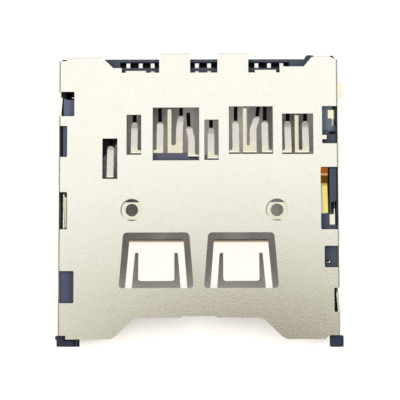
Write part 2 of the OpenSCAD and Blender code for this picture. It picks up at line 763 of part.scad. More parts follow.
module protect_switch_leaf() {
    low = strap_top - blade_low;
    color(gold_colour) {
        // Blade, bent down into the step beside the card's top
        intersection() {
            linear_extrude(shell_h)
                polygon([[blade_x[0], anchor_y[0] + weld], [blade_x[1], anchor_y[0] + weld],
                         [blade_x[1], blade_bend[1]], [blade_tip_x[1], blade_end],
                         [blade_tip_x[0], blade_end], [blade_mid_x[0], blade_bend[1] - 0.06],
                         [blade_x[0], blade_bend[1]]]);
            along_x(blade_x[0], blade_tip_x[1])
                bent([[blade_end, low + 0.25], [blade_bend[1] - 0.2, low],
                      [blade_bend[1] + 0.15, low + 0.05], [2.4, low + 0.3],
                      [3, strap_top - 0.06], [anchor_y[0] + weld, strap_top]], strip_t);
        }
        // Moulded-in anchor, link and strip along the rail, and the pad at its back end
        block(blade_x, anchor_y, [strap_z, strap_top]);
        block([blade_x[1] - weld, strip_x[1]], link_y, [strap_z, strap_top]);
        block(strip_x, [link_y[0], pad_y[0] + weld], [strap_z, strap_top]);
        block(pad_x, pad_y, [strap_z, strap_top]);
        // Leg down the rail's outer face, and the solder foot outside the shell
        block(leg_x, pad_y, [0.4, strap_top]);
        block(leg_x, [pad_y[0], gold_foot_y[1]], [0.4, 0.4 + leg_h]);
        block(leg_x, gold_foot_y, [0, 0.4 + leg_h]);
        block([leg_x[0], gold_foot_x], gold_foot_y, [0, strip_t]);
    }
}

module protect_switch_terminal() {
    color(steel_colour) {
        block(terminal_x, terminal_y, [strap_z, strap_top]);
        block(terminal_side, [terminal_y[0], terminal_side_y], [terminal_side_z, strap_z + weld]);
        block(terminal_leg, [terminal_y[0], terminal_y[0] + strip_t], [0, strap_top]);
        block(terminal_leg, terminal_y, [0, strip_t]);
    }
}

// What the switch takes out of the housing
module protect_room() {
    f = slot_fit;
    z = [strap_z - f, strap_top + f];
    block([blade_x[0] - f, blade_x[1] + f], [leaf_gap[1] - over, anchor_y[1] + f], z);
    block([blade_x[0], rail_out + over], [link_y[0] - f, link_y[1] + f], z);
    block([strip_x[0] - f, rail_out + over], [link_y[0] - f, pad_y[0]], z);
    block([strip_x[0] - f, rail_out + over], [stub_y, pad_y[0] + f], [z[0], top_z + over]);
    block([pad_x[0] - f, rail_out + over], [pad_y[0] - f, pad_y[1] + f], [z[0], top_z + over]);
    block([leg_x[0] - f, rail_out + over], [pad_y[0] - f, pad_y[1] + f], [-over, top_z + over]);
    block([leg_x[0] - f, rail_out + over], [pad_y[0] - f, gold_foot_y[1] + f],
          [-over, 0.4 + leg_h + f]);
    block([terminal_x[0] - f, rail_out + over], [terminal_y[0] - f, terminal_y[1] + f],
          [z[0], top_z + over]);
    block([terminal_side[0] - f, rail_out + over], [terminal_y[0] - f, terminal_side_y + f],
          [terminal_side_z - f, top_z + over]);
    block([terminal_leg[0] - f, terminal_leg[1] + f],
          [terminal_y[0] - f, terminal_y[0] + strip_t + f], [-over, top_z]);
    block([terminal_leg[0] - f, terminal_leg[1] + f], [terminal_y[0] - f, terminal_y[1] + f],
          [-over, strip_t + f]);
}

// Slider

slider_z = ledge_h + slider_play;
slider_top = card_top + 0.05;
slider_in = card_left - 0.03;
toe_h = 1.15;
toe_z = 0.3;
toe_left = card_left + slider_play;
toe_x = slider_in + 3.75;
toe_t = 0.85;
chamfer_y = 2.4;
toe_back = stop_y - travel - 0.2;
pivot_y = 2.19;
pivot_z = 0.4;
pivot_l = 0.5;
tip_y = 0.38;
lane_z = 1.22;
loop_z = 2.0;
post_d = 0.5;
post_l = 0.8;
track_end = tip_y - travel;

// The heart-cam track as seen from the outer side, in y and z
module track() {
    difference() {
        polygon(rounded([[tip_y + 0.25, lane_z - 0.2, 0.15], [tip_y + 0.25, loop_z - 0.3, 0.4],
                         [tip_y - 0.35, loop_z + 0.2, 0.2], [track_end - 0.7, loop_z + 0.2, 0.15],
                         [track_end - 0.7, loop_z - 0.5, 0.3],
                         [track_end - 0.25, lane_z - 0.2, 0.15]], 4));
        // The heart, with the notch that holds the pin while the card is in
        polygon(rounded([[tip_y - 1.0, loop_z - 0.4, 0.05], [tip_y - 1.5, lane_z + 0.2, 0.1],
                         [track_end + 0.75, lane_z + 0.2, 0.05],
                         [track_end + 0.55, lane_z + 0.3, 0.03],
                         [track_end + 0.95, (lane_z + loop_z) / 2, 0.12],
                         [track_end + 0.5, loop_z - 0.25, 0.03],
                         [track_end + 0.7, loop_z - 0.21, 0.05],
                         [tip_y - 1.3, loop_z - 0.21, 0.1]], 3));
    }
}

module slider() {
    color(plastic_colour)
        difference() {
            union() {
                block([slider_x, slider_in], [-slider_front, slider_back], [slider_z, slider_top]);
                // Toe that follows the card's cut corner
                translate([0, 0, toe_z])
                    linear_extrude(toe_h)
                        polygon(rounded([
                            [toe_left, chamfer_y], [toe_left + 0.05, chamfer_y],
                            [toe_x, chamfer_y + toe_x - toe_left, 0.2],
                            [toe_x, toe_back, 0.2], [toe_x - 1.1, toe_back],
                            [toe_left, slider_back]], 3));
                translate([0, 0, slider_z])
                    linear_extrude(slider_top - slider_z)
                        polygon([[slider_in - weld, chamfer_y + 0.1],
                                 [slider_in + 0.1, chamfer_y],
                                 [slider_in + toe_t, chamfer_y + toe_t - 0.1],
                                 [slider_in + toe_t, slider_back], [slider_in - weld, slider_back]]);
                // Post inside the coil spring
                translate([coil_x, slider_back - weld, coil_z])
                    rotate([-90, 0, 0])
                        cylinder(d = post_d, h = post_l);
            }
            along_x(slider_x - over, slider_x + track_depth)
                track();
            lock_room();
        }
}

// Card lock leaf, held in the slider's inner face

lock_z = [1.1, 2.0];
lock_line = [[-0.35, 0.3], [-2.1, 0.3], [-3.9, -0.22], [-4.9, 0.2]];

module lock_outline(t) {
    line = [for (p = lock_line) [slider_in - p[1], p[0]]];
    polygon(concat(line, [for (i = [len(line) - 1 : -1 : 0]) line[i] + [t, 0]]));
}

module lock_room() {
    block([slider_in - 0.34, slider_in + over], [-5.3, -1.3], [lock_z[0] - 0.05, lock_z[1] + 0.05]);
    block([slider_in - 0.3 - 0.02, slider_in - 0.3 + lock_t + 0.02], [-1.4, -0.33],
          [lock_z[0] - 0.05, lock_z[1] + 0.05]);
}

module card_lock_spring() {
    color(steel_colour)
        translate([0, 0, lock_z[0]])
            linear_extrude(lock_z[1] - lock_z[0])
                lock_outline(lock_t);
}

// Coil spring behind the slider

coil_x = (slider_x + slider_in) / 2;
coil_z = (slider_z + roof_z) / 2;
coil_front = slider_back + 0.03;
coil_back = well_back - 0.03;
coil_r = (coil_d - coil_wire) / 2;
coil_steps = 12;
wire_sides = 6;

// A point of the wire's skin: ring i along the helix, side j round the wire
function coil_point(i, j) =
    let (n = coil_turns * coil_steps, a = 360 * i / coil_steps, b = 360 * j / wire_sides,
         r = coil_r + coil_wire / 2 * cos(b),
         end = coil_wire / 2,
         y = coil_front + end + (coil_back - coil_front - 2 * end) * i / n)
    [coil_x + r * cos(a), y + end * sin(b), coil_z + r * sin(a)];

module coil_spring() {
    n = coil_turns * coil_steps;
    m = wire_sides;
    color(steel_colour)
        polyhedron([for (i = [0 : n], j = [0 : m - 1]) coil_point(i, j)],
                   concat([for (i = [0 : n - 1], j = [0 : m - 1])
                           [i * m + j, i * m + (j + 1) % m, (i + 1) * m + (j + 1) % m,
                            (i + 1) * m + j]],
                          [[for (j = [m - 1 : -1 : 0]) j]],
                          [[for (j = [0 : m - 1]) n * m + j]]));
}

// Cam pin: a flat bar with two round ends that point inwards, one in the housing's ledge and
// one in the heart-cam track

pin_t = 0.28;
pin_x = slider_x - 0.03 - pin_w / 2;

module cam_pin() {
    leg = norm([tip_y + pivot_y, lane_z - pivot_z]);
    color(steel_colour)
        translate([pin_x, -pivot_y, pivot_z])
            rotate([atan2(lane_z - pivot_z, tip_y + pivot_y), 0, 0]) {
                translate([0, 0, -pin_t / 2])
                    linear_extrude(pin_t)
                        pane([-pin_w / 2, pin_w / 2], [-pin_w / 2, leg + pin_w / 2], 0.1);
                for (y = [0, leg])
                    translate([0, y, 0])
                        rotate([0, 90, 0])
                            cylinder(d = pin_d, h = slider_x + pivot_l - 0.05 - pin_x);
            }
}

shell();
housing();
contact_piece(contacts[0]);  // contact_1
contact_piece(contacts[1]);  // contact_2
contact_piece(contacts[2]);  // contact_3
contact_piece(contacts[3]);  // contact_4
contact_piece(contacts[4]);  // contact_5
contact_piece(contacts[5]);  // contact_6
contact_piece(contacts[6]);  // contact_7
contact_piece(contacts[7]);  // contact_8
contact_piece(contacts[8]);  // contact_9
contact_piece(contacts[DETECT_3]);  // detect_contact_3
contact_piece(contacts[DETECT_6]);  // detect_contact_6
protect_switch_leaf();
protect_switch_terminal();
slider();
card_lock_spring();
coil_spring();
cam_pin();
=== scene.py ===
"""Looks of the memory card socket: materials, the coil spring, studio light and the photo's camera."""
import math

import bmesh
import bpy
from mathutils import Matrix, Vector


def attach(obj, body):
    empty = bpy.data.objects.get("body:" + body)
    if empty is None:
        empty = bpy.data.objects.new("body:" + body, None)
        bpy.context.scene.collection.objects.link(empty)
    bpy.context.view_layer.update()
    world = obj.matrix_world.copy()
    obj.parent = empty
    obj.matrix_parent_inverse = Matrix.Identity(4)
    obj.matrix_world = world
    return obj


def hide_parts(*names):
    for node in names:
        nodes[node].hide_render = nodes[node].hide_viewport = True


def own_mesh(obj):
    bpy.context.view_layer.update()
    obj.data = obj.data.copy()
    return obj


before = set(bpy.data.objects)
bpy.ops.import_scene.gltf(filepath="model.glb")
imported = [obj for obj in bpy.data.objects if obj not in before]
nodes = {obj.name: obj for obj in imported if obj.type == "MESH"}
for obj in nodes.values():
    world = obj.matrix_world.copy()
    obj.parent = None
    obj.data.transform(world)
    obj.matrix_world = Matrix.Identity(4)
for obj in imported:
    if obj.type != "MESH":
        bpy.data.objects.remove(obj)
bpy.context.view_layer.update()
MM = 0.001
# Depth of the surfaces' grain, in metres
GRAIN_DEPTH = 0.00002


# ---------------------------------------------------------------- node builders

class Nodes:
    """A small builder for one node tree. Masks are values from 0 to 1."""

    def __init__(self, tree):
        self.tree = tree

    def add(self, kind, **values):
        node = self.tree.nodes.new(kind)
        for key, value in values.items():
            setattr(node, key, value)
        return node

    def link(self, out, socket):
        self.tree.links.new(out, socket)

    def put(self, value, socket):
        if isinstance(value, (int, float)):
            socket.default_value = value
        elif isinstance(value, tuple):
            socket.default_value = (*value, 1)
        else:
            self.link(value, socket)

    def split(self, vector):
        node = self.add("ShaderNodeSeparateXYZ")
        self.link(vector, node.inputs["Vector"])
        return node.outputs

    def math(self, operation, a, b=0.0):
        node = self.add("ShaderNodeMath", operation=operation)
        self.put(a, node.inputs[0])
        self.put(b, node.inputs[1])
        return node.outputs[0]

    def less(self, a, b):
        return self.math("SUBTRACT", a, b)

    def times(self, a, b):
        return self.math("MULTIPLY", a, b)

    def size(self, value):
        return self.math("ABSOLUTE", value)

    def vector(self, operation, a, b=(0, 0, 0)):
        node = self.add("ShaderNodeVectorMath", operation=operation)
        self.link(a, node.inputs[0])
        node.inputs[1].default_value = b
        return node.outputs["Value" if operation == "LENGTH" else "Vector"]

    def above(self, value, at, soft=0.02):
        node = self.add("ShaderNodeMapRange", interpolation_type="SMOOTHSTEP")
        node.inputs["From Min"].default_value = at - soft
        node.inputs["From Max"].default_value = at + soft
        self.link(value, node.inputs["Value"])
        return node.outputs["Result"]

    def no(self, mask):
        return self.less(1, mask)

    def below(self, value, at, soft=0.02):
        return self.no(self.above(value, at, soft))

    def all(self, *masks):
        out = masks[0]
        for mask in masks[1:]:
            out = self.times(out, mask)
        return out

    def any(self, *masks):
        out = masks[0]
        for mask in masks[1:]:
            out = self.math("MAXIMUM", out, mask)
        return out

    def within(self, value, low, high, soft=0.02):
        return self.all(self.above(value, low, soft), self.below(value, high, soft))

    def spread(self, value, low, high, start=0.0, end=1.0):
        """A number that goes from low to high as the value goes from start to end."""
        node = self.add("ShaderNodeMapRange")
        node.inputs["From Min"].default_value = start
        node.inputs["From Max"].default_value = end
        node.inputs["To Min"].default_value = low
        node.inputs["To Max"].default_value = high
        self.link(value, node.inputs["Value"])
        return node.outputs["Result"]

    def ramp(self, value, stops, interpolation="LINEAR"):
        node = self.add("ShaderNodeValToRGB")
        ramp = node.color_ramp
        ramp.interpolation = interpolation
        while len(ramp.elements) < len(stops):
            ramp.elements.new(0.5)
        for element, (at, colour) in zip(ramp.elements, stops):
            element.position = at
            element.color = (*colour, 1)
        self.link(value, node.inputs["Fac"])
        return node.outputs["Color"]

    def mix(self, share, a, b, blend="MIX"):
        node = self.add("ShaderNodeMix", data_type="RGBA", blend_type=blend)
        self.put(share, node.inputs[0])
        self.put(a, node.inputs[6])
        self.put(b, node.inputs[7])
        return node.outputs[2]

    def blend(self, mask, a, b):
        """The number a, or b where the mask is 1."""
        node = self.add("ShaderNodeMix", data_type="FLOAT")
        self.put(mask, node.inputs[0])
        self.put(a, node.inputs[2])
        self.put(b, node.inputs[3])
        return node.outputs[0]


class Shader(Nodes):
    """One procedural material. Its places x, y and z are in millimetres."""

    def __init__(self, name):
        self.material = bpy.data.materials.new(name)
        self.material.use_nodes = True
        super().__init__(self.material.node_tree)
        self.bsdf = self.tree.nodes["Principled BSDF"]
        self.place = self.add("ShaderNodeTexCoord").outputs["Object"]
        self.x, self.y, self.z = [self.math("DIVIDE", out, MM) for out in self.split(self.place)]
        self.nx, self.ny, self.nz = self.split(self.add("ShaderNodeNewGeometry").outputs["Normal"])

    def set(self, name, value):
        self.bsdf.inputs[name].default_value = value

    def up(self):
        """Faces that look up."""
        return self.above(self.nz, 0.6, 0.1)

    def down(self):
        """Faces that look down."""
        return self.below(self.nz, -0.3, 0.1)

    def steep(self):
        """Faces that stand nearly upright."""
        return self.below(self.size(self.nz), 0.4, 0.1)

    def box(self, left, right, front, back, soft_x=0.02, soft_y=0.02):
        """A rectangle on the plan."""
        return self.all(self.within(self.x, left, right, soft_x), self.within(self.y, front, back, soft_y))

    def outside(self, left, right, front, back):
        """Distance on the plan outwards from a rectangle's outline."""
        dx = self.less(self.size(self.less(self.x, (left + right) / 2)), (right - left) / 2)
        dy = self.less(self.size(self.less(self.y, (front + back) / 2)), (back - front) / 2)
        return self.math("MAXIMUM", dx, dy)

    def far(self, x, y):
        """Distance on the plan from the upright line through x and y."""
        dx, dy = self.less(self.x, x), self.less(self.y, y)
        return self.math("SQRT", self.math("ADD", self.times(dx, dx), self.times(dy, dy)))

    def noise(self, scale, detail=2.0, stretch=(1, 1, 1), rough=0.5):
        shift = self.add("ShaderNodeMapping")
        shift.inputs["Scale"].default_value = stretch
        self.link(self.place, shift.inputs["Vector"])
        node = self.add("ShaderNodeTexNoise")
        node.inputs["Scale"].default_value = scale
        node.inputs["Detail"].default_value = detail
        node.inputs["Roughness"].default_value = rough
        self.link(shift.outputs["Vector"], node.inputs["Vector"])
        return node.outputs["Fac"]

    def flatter(self, mask, x, y):
        """The normal, leaning less towards the sides (x) and the ends (y) where the mask is 1."""
        join = self.add("ShaderNodeCombineXYZ")
        self.link(self.times(self.nx, self.blend(mask, 1, x)), join.inputs[0])
        self.link(self.times(self.ny, self.blend(mask, 1, y)), join.inputs[1])
        self.link(self.nz, join.inputs[2])
        return self.vector("NORMALIZE", join.outputs[0])

    def bump(self, height, strength, edge, normal=None):
        """Grain on the surface, over the normal or else over edges rounded to a radius."""
        node = self.add("ShaderNodeBump")
        node.inputs["Strength"].default_value = strength
        node.inputs["Distance"].default_value = GRAIN_DEPTH
        self.link(height, node.inputs["Height"])
        if not normal:
            bevel = self.add("ShaderNodeBevel", samples=4)
            bevel.inputs["Radius"].default_value = edge * MM
            normal = bevel.outputs["Normal"]
        self.link(normal, node.inputs["Normal"])
        self.link(node.outputs["Normal"], self.bsdf.inputs["Normal"])

    def finish(self, colour, rough):
        self.link(colour, self.bsdf.inputs["Base Color"])
        self.link(rough, self.bsdf.inputs["Roughness"])


# ---------------------------------------------------------------- materials

# Colours of the marks, many of them painted shade, highlights and reflections: the shell's
SHEARED_AND_SHADE = (0.1, 0.095, 0.09)
EDGE_HIGHLIGHT = (0.4, 0.4, 0.38)
UNDERSIDE_SHADE = (0.06, 0.04, 0.03)
RING = (0.84, 0.8, 0.66)
SEAM_SHADOW = (0.18, 0.15, 0.12)
LIP_REFLECTION = (0.86, 0.74, 0.64)
LIP_REFLECTION_FADE = (0.86, 0.76, 0.66)
LEG_BEND_SHADE = (0.84, 0.76, 0.68)
# the contacts'
STRAP = (0.83, 0.78, 0.61)
TAIL = (0.9, 0.88, 0.84)
CONTACT_SHADE = (0.025, 0.02, 0.018)
ROOT_HIGHLIGHT = (1.0, 0.97, 0.9)
# the write-protect switch's
PAD = (0.96, 0.88, 0.66)
STUB = (0.5, 0.45, 0.38)
SOLDER = (0.95, 0.9, 0.6)
BLADE_BEND_SHADE = (0.56, 0.15, 0.015)
BLADE_CREASE_HIGHLIGHT = (0.98, 0.66, 0.36)
BLADE_SLOPE_SHADE = (0.27, 0.1, 0.01)
LEAD = (0.16, 0.19, 0.2)
# the cam pin's
PIN_SIDE_SHADE = (0.2, 0.16, 0.1)
# and the housing's
LEFT_RAIL_SHEEN = (0.037, 0.044, 0.071)
RAIL_SHEEN = (0.061, 0.07, 0.11)
FEET_SHADE = (0.013, 0.016, 0.031)
BEAM_SHEEN = (0.049, 0.053, 0.071)
TAB_SIDE_SHEEN = (0.065, 0.087, 0.111)
HOLLOW_SHADE = (0.004, 0.005, 0.008)
SPECK_GLINT = (0.8, 0.79, 0.75)
# Roughness of the duller marks: the shell's, the contacts' and the terminal's lead
SHELL_DULL, TIP_DULL, LEAD_DULL = 0.55, 0.4, 0.6

# Metal: scale of the coarse grain as a share of the fine one's, the fine one's share in the tone, and the
# radius that edges are drawn with
METAL_COARSE, METAL_FINE, METAL_EDGE = 0.12, 0.8, 0.03
# Plastic: scales of the fine and the coarse grain, the fine one's share in the tone, the reach of the
# roughness down and up from its middle, the strength of the bump, and the edges' radius
PLASTIC_SCALE, PLASTIC_COARSE, PLASTIC_FINE = 14000, 700, 0.3
PLASTIC_SMOOTHER, PLASTIC_ROUGHER = 0.08, 0.1
PLASTIC_BUMP, PLASTIC_EDGE = 0.35, 0.04


def metal(name, dark, light, rough, grain, places=None, bump=0.25, scale=9000, stretch=(1, 1, 1)):
    """Sheet metal with a grain. places(s, colour, rough) gives colour, roughness and normal with the local marks."""
    s = Shader(name)
    s.set("Metallic", 1.0)
    coarse = s.noise(scale * METAL_COARSE, 3, stretch)
    fine = s.noise(scale, 3, stretch, 0.6)
    colour = s.ramp(s.blend(METAL_FINE, coarse, fine), ((0.3, dark), (0.7, light)))
    roughness = s.spread(fine, rough - grain, rough + grain)
    normal = None
    if places:
        colour, roughness, normal = places(s, colour, roughness)
    s.finish(colour, roughness)
    s.bump(fine, bump, METAL_EDGE, normal)
    return s


def plastic(name, dark, light, rough, specular, places=None):
    """Moulded plastic. places(s, colour, rough) gives colour and roughness with the local marks."""
    s = Shader(name)
    fine = s.noise(PLASTIC_SCALE, 3)
    coarse = s.noise(PLASTIC_COARSE, 2)
    colour = s.ramp(s.blend(PLASTIC_FINE, coarse, fine), ((0.35, dark), (0.68, light)))
    roughness = s.spread(fine, rough - PLASTIC_SMOOTHER, rough + PLASTIC_ROUGHER)
    s.set("Specular IOR Level", specular)
    if places:
        colour, roughness = places(s, colour, roughness)
    s.finish(colour, roughness)
    s.bump(fine, PLASTIC_BUMP, PLASTIC_EDGE)
    return s


# Contact windows: left, right, front, back, and the reach of the rim of painted shade over their outline
WINDOWS = ((-9.27, -7.87, 2.18, 6.05), (-6.94, -5.57, 4.52, 8.36), (-4.41, 0.04, 3.96, 9.06),
           (0.59, 1.92, 4.0, 7.87), (2.97, 7.18, 4.58, 9.16), (8.12, 11.08, 4.56, 8.45))
RIM = (-0.03, 0.025)
# Cut edges, dark as raw metal and with painted shade: the steep faces nearer the middle than CUT_ACROSS
# and in front of CUT_BACK, and the lower edges of the side windows
CUT_ACROSS, CUT_BACK = 13.33, 13.9
LEDGE_ACROSS, LEDGE_TOP = 13.3, 2.35
# Painted highlight: a bright line along the lower edges of the front side windows
EDGE_HIGHLIGHT_ACROSS, EDGE_HIGHLIGHT_BACK = (13.46, 13.54), -3
# Where the side walls and the long bends above them start
WALL_ACROSS = 13
# Pressed rings: middles, radius, heights, and the radii of the painted shadow in the seam round them
RINGS = ((-6.44, -0.87), (7.55, -0.87))
RING_R, RING_Z, SEAM_R = 1.1, (3.04, 3.15), (0.98, 1.1)
# Card springs: reach, curled back lip with the fade in front of it (both a painted dark reflection), and the bend
# where the legs start (painted shade)
SPRING_ACROSS, SPRING_Y = 7.8, (-8.7, -3.0)
LIP_FROM, FADE_FROM, LIP_TOP = -3.97, -4.15, 2.9
LEG_Y, LEG_TOP = (-8.42, -7.95), 3.195


def shell_places(s, colour, rough):
    across, up = s.size(s.x), s.up()
    ledge = s.all(up, s.below(s.z, LEDGE_TOP))
    cut = s.any(s.all(s.steep(), s.below(across, CUT_ACROSS), s.below(s.y, CUT_BACK)),
                s.all(ledge, s.above(across, LEDGE_ACROSS)))
    # Dark cut edges, partly raw metal and partly painted shade, and a rim of painted shade round the contact windows
    shaded_rim = s.all(s.any(*[s.within(s.outside(*window), *RIM) for window in WINDOWS]), s.above(s.nz, 0.9, 0.05))
    colour = s.mix(s.any(cut, shaded_rim), colour, SHEARED_AND_SHADE)
    # A painted highlight along the lower edges of the front side windows
    colour = s.mix(s.all(ledge, s.within(across, *EDGE_HIGHLIGHT_ACROSS), s.below(s.y, EDGE_HIGHLIGHT_BACK)), colour, EDGE_HIGHLIGHT)
    # Painted shade on the side that faces the housing, which is also duller
    inward = s.below(s.times(s.nx, s.x), -5, 1)
    inside = s.any(s.down(), s.all(inward, s.above(across, WALL_ACROSS)))
    colour = s.mix(inside, colour, UNDERSIDE_SHADE)
    # Pressed rings, with a painted shadow in the seam towards the back left
    for x, y in RINGS:
        d = s.far(x, y)
        colour = s.mix(s.all(s.within(s.z, *RING_Z), up, s.below(d, RING_R)), colour, RING)
        side = s.above(s.less(s.less(s.y, y), s.less(s.x, x)), 0.35, 0.5)
        seam_shadow = s.all(s.within(d, *SEAM_R, 0.03), side, up)
        colour = s.mix(s.times(seam_shadow, 0.75), colour, SEAM_SHADOW)
    spring = s.all(s.within(s.y, *SPRING_Y), s.below(across, SPRING_ACROSS))
    low = s.all(spring, s.below(s.z, LIP_TOP))
    lip = s.all(low, s.above(s.y, LIP_FROM))
    # A painted browner, dark reflection on the springs' curled back lip, fading out in front of it
    colour = s.mix(lip, colour, LIP_REFLECTION)
    colour = s.mix(s.all(low, s.above(s.y, FADE_FROM, 0.2), s.no(lip)), colour, LIP_REFLECTION_FADE)
    # Painted shade along the bend where the legs start
    leg = s.all(spring, s.within(s.y, *LEG_Y, 0.12), s.below(s.z, LEG_TOP, 0.003), up)
    colour = s.mix(s.times(leg, 0.8), colour, LEG_BEND_SHADE)
    # The long bends at the sides are duller than the plate
    bend = s.all(s.within(s.nz, 0.12, 0.95, 0.04), s.above(s.size(s.nx), 0.3, 0.1), s.above(across, WALL_ACROSS))
    dull = s.any(cut, inside, shaded_rim, bend)
    return colour, s.blend(dull, rough, SHELL_DULL), s.flatter(s.all(lip, up), 0.6, 0.45)


# Contacts: height of their flat straps, and where the tails start
STRAP_Z, TAIL_FROM = 2.67, 12.9
# Roots that end at a window's front edge: left, right, edge
ROOTS = ((-9.3, -7.9, 2.18), (-7.0, -5.5, 4.52), (-1.3, 0.0, 4.2),
         (0.8, 2.1, 4.0), (2.9, 7.3, 4.58), (7.5, 11.2, 4.56))
# The painted shadow in the gap behind that edge, and the painted highlight on the root's front edge behind the gap
ROOT_GAP, ROOT_BRIGHT = 0.17, 0.29


def strip_places(s, colour, rough):
    flat = s.above(s.z, STRAP_Z, 0.075)
    colour = s.mix(flat, colour, STRAP)
    colour = s.mix(s.above(s.y, TAIL_FROM), colour, TAIL)
    # Painted shade on the tips' forward faces and on faces that look down or stand upright
    tip = s.below(s.ny, -0.2, 0.06)
    dark = s.all(s.any(tip, s.down(), s.steep()), s.below(s.y, TAIL_FROM))
    # At each root, a painted shadow next to the window's edge and a painted highlight on the root's front edge
    for left, right, edge in ROOTS:
        here = s.all(s.within(s.x, left, right), flat)
        colour = s.mix(s.all(here, s.within(s.y, edge + ROOT_GAP, edge + ROOT_BRIGHT)), colour, ROOT_HIGHLIGHT)
        dark = s.any(dark, s.all(here, s.below(s.y, edge + ROOT_GAP)))
    colour = s.mix(dark, colour, CONTACT_SHADE)
    return colour, s.blend(s.any(tip, dark), rough, TIP_DULL), None


# Write-protect leaf: where its stub, the pad behind it and the solder on the pad start
STUB_FROM, PAD_FROM = 5.3, 7.98
SOLDER_FROM, SOLDER_ACROSS = 9.5, 13.6
# Its blade: height, and the places of the painted shade and highlight along it
BLADE_TOP = 2.9
BLADE_BEND_Y, BLADE_CREASE_Y, BLADE_SLOPE_Y = (1.76, 3.6), (2.52, 2.7), (1.76, 2.5)
BLADE_FLATTER_Y = (1.5, 3.6)


def gold_places(s, colour, rough):
    colour = s.mix(s.above(s.y, PAD_FROM), colour, PAD)
    colour = s.mix(s.within(s.y, STUB_FROM, PAD_FROM), colour, STUB)
    colour = s.mix(s.all(s.above(s.y, SOLDER_FROM), s.above(s.x, SOLDER_ACROSS)), colour, SOLDER)
    # Painted orange shade on the blade's bend, a painted highlight along its crease, and deeper painted shade on the
    # slope in front of that
    blade = s.below(s.z, BLADE_TOP)
    colour = s.mix(s.all(blade, s.within(s.y, *BLADE_BEND_Y)), colour, BLADE_BEND_SHADE)
    colour = s.mix(s.all(blade, s.within(s.y, *BLADE_CREASE_Y, 0.05)), colour, BLADE_CREASE_HIGHLIGHT)
    colour = s.mix(s.all(blade, s.within(s.y, *BLADE_SLOPE_Y)), colour, BLADE_SLOPE_SHADE)
    bent = s.all(blade, s.within(s.y, *BLADE_FLATTER_Y), s.above(s.nz, 0.2, 0.1))
    return colour, rough, s.flatter(bent, 0.5, 0.4)


# Where the terminal's narrow lead starts, behind its pad
LEAD_FROM = -0.75


def cream_places(s, colour, rough):
    lead = s.above(s.y, LEAD_FROM)
    return s.mix(lead, colour, LEAD), s.blend(lead, rough, LEAD_DULL), None


def coil_places(s, colour, rough):
    # The wire's top catches the light
    return colour, rough, s.flatter(s.above(s.nz, 0.3, 0.1), 0.5, 0.3)


def pin_places(s, colour, rough):
    # The bar reads as flat from above, with an outline of painted shade on its sides
    colour = s.mix(s.below(s.nz, 0.15, 0.05), colour, PIN_SIDE_SHADE)
    return colour, rough, s.flatter(s.above(s.nz, 0.1, 0.05), 0.02, 0.2)


# Housing: the left rail's right edge, the part of the rail painted lighter with sheen, and the feet's back edge
RAIL_RIGHT, RAIL_SHEEN_Y, FEET_BACK = -11.8, (4, 10.7), -12.9
# Boxes on the plan: left, right, front, back, and how soft their edges are across and along
BEAM_BOX = (-6, 6, 3.6, 4.75)
TAB_BOX = (11.5, 13.0, 6.9, 9.4, 0.15, 0.2)
SPECK_BOX = (12.3, 12.62, -5.93, -5.77, 0.05, 0.03)
# Deep places beside the shell and in the first contact window, painted dark as shade
HOLLOWS = ((-13.9, -13.12, 4.2, 7.4), (-13.4, -13.08, 8.2, 10.2), (-13.3, -12.2, 10.0, 10.7),
           (12.98, 13.32, 7.6, 9.3), (12.75, 13.3, 6.5, 6.76), (12.95, 13.9, -10.8, -8.2),
           (12.05, 12.75, -6.02, -5.68), (-12.02, -11.3, -14.2, -13.2), (-13.0, -12.0, -13.42, -13.2),
           (-9.45, -7.7, 2.0, 6.2))


def housing_places(s, colour, rough):
    up = s.up()
    rail = s.all(s.below(s.x, RAIL_RIGHT), up)
    # Painted sheen: the left rail is a little lighter and bluer, and its back half lighter still
    colour = s.mix(s.all(rail, s.below(s.y, RAIL_SHEEN_Y[0])), colour, LEFT_RAIL_SHEEN)
    colour = s.mix(s.all(rail, s.within(s.y, *RAIL_SHEEN_Y)), colour, RAIL_SHEEN)
    # Painted shade on the feet at the front
    colour = s.mix(s.below(s.y, FEET_BACK, 0.1), colour, FEET_SHADE)
    # Painted sheen makes the cross beam, and the right rail beside the solder tab, lighter too
    colour = s.mix(s.all(s.box(*BEAM_BOX), up), colour, BEAM_SHEEN)
    colour = s.mix(s.all(s.box(*TAB_BOX), up), colour, TAB_SIDE_SHEEN)
    # Painted shade in the deep places, which are also made rough
    dim = s.any(*[s.box(*hollow) for hollow in HOLLOWS])
    colour = s.mix(dim, colour, HOLLOW_SHADE)
    # A painted glint in the lower right window
    colour = s.mix(s.all(s.box(*SPECK_BOX), up), colour, SPECK_GLINT)
    return colour, s.blend(dim, rough, 1)


sheet = metal("shell_sheet", (0.8, 0.78, 0.698), (0.903, 0.892, 0.817), 0.15, 0.035,
              shell_places, bump=0.14, scale=6000)
strip = metal("contact_strip", (0.76, 0.70, 0.63), (0.86, 0.80, 0.73), 0.26, 0.03,
              strip_places, bump=0.1, stretch=(1, 0.2, 1))
gold = metal("gold_strip", (0.76, 0.64, 0.12), (0.86, 0.78, 0.25), 0.24, 0.05,
             gold_places, stretch=(1, 0.2, 1))
coil = metal("spring_wire", (0.8, 0.79, 0.77), (0.95, 0.94, 0.92), 0.14, 0.03,
             coil_places, bump=0.05)
steel = metal("spring_steel", (0.70, 0.69, 0.67), (0.86, 0.85, 0.83), 0.26, 0.05,
              stretch=(1, 0.3, 1))
cream = metal("plated_strip", (0.96, 0.92, 0.78), (1.0, 0.98, 0.86), 0.22, 0.04,
              cream_places, bump=0.1, stretch=(1, 0.3, 1))
bright = metal("pin_plating", (0.93, 0.86, 0.7), (1.0, 0.94, 0.8), 0.12, 0.03,
               pin_places, bump=0.05, stretch=(1, 0.3, 1))
navy = plastic("housing_plastic", (0.028, 0.034, 0.049), (0.034, 0.041, 0.058), 0.58, 0.42, housing_places)
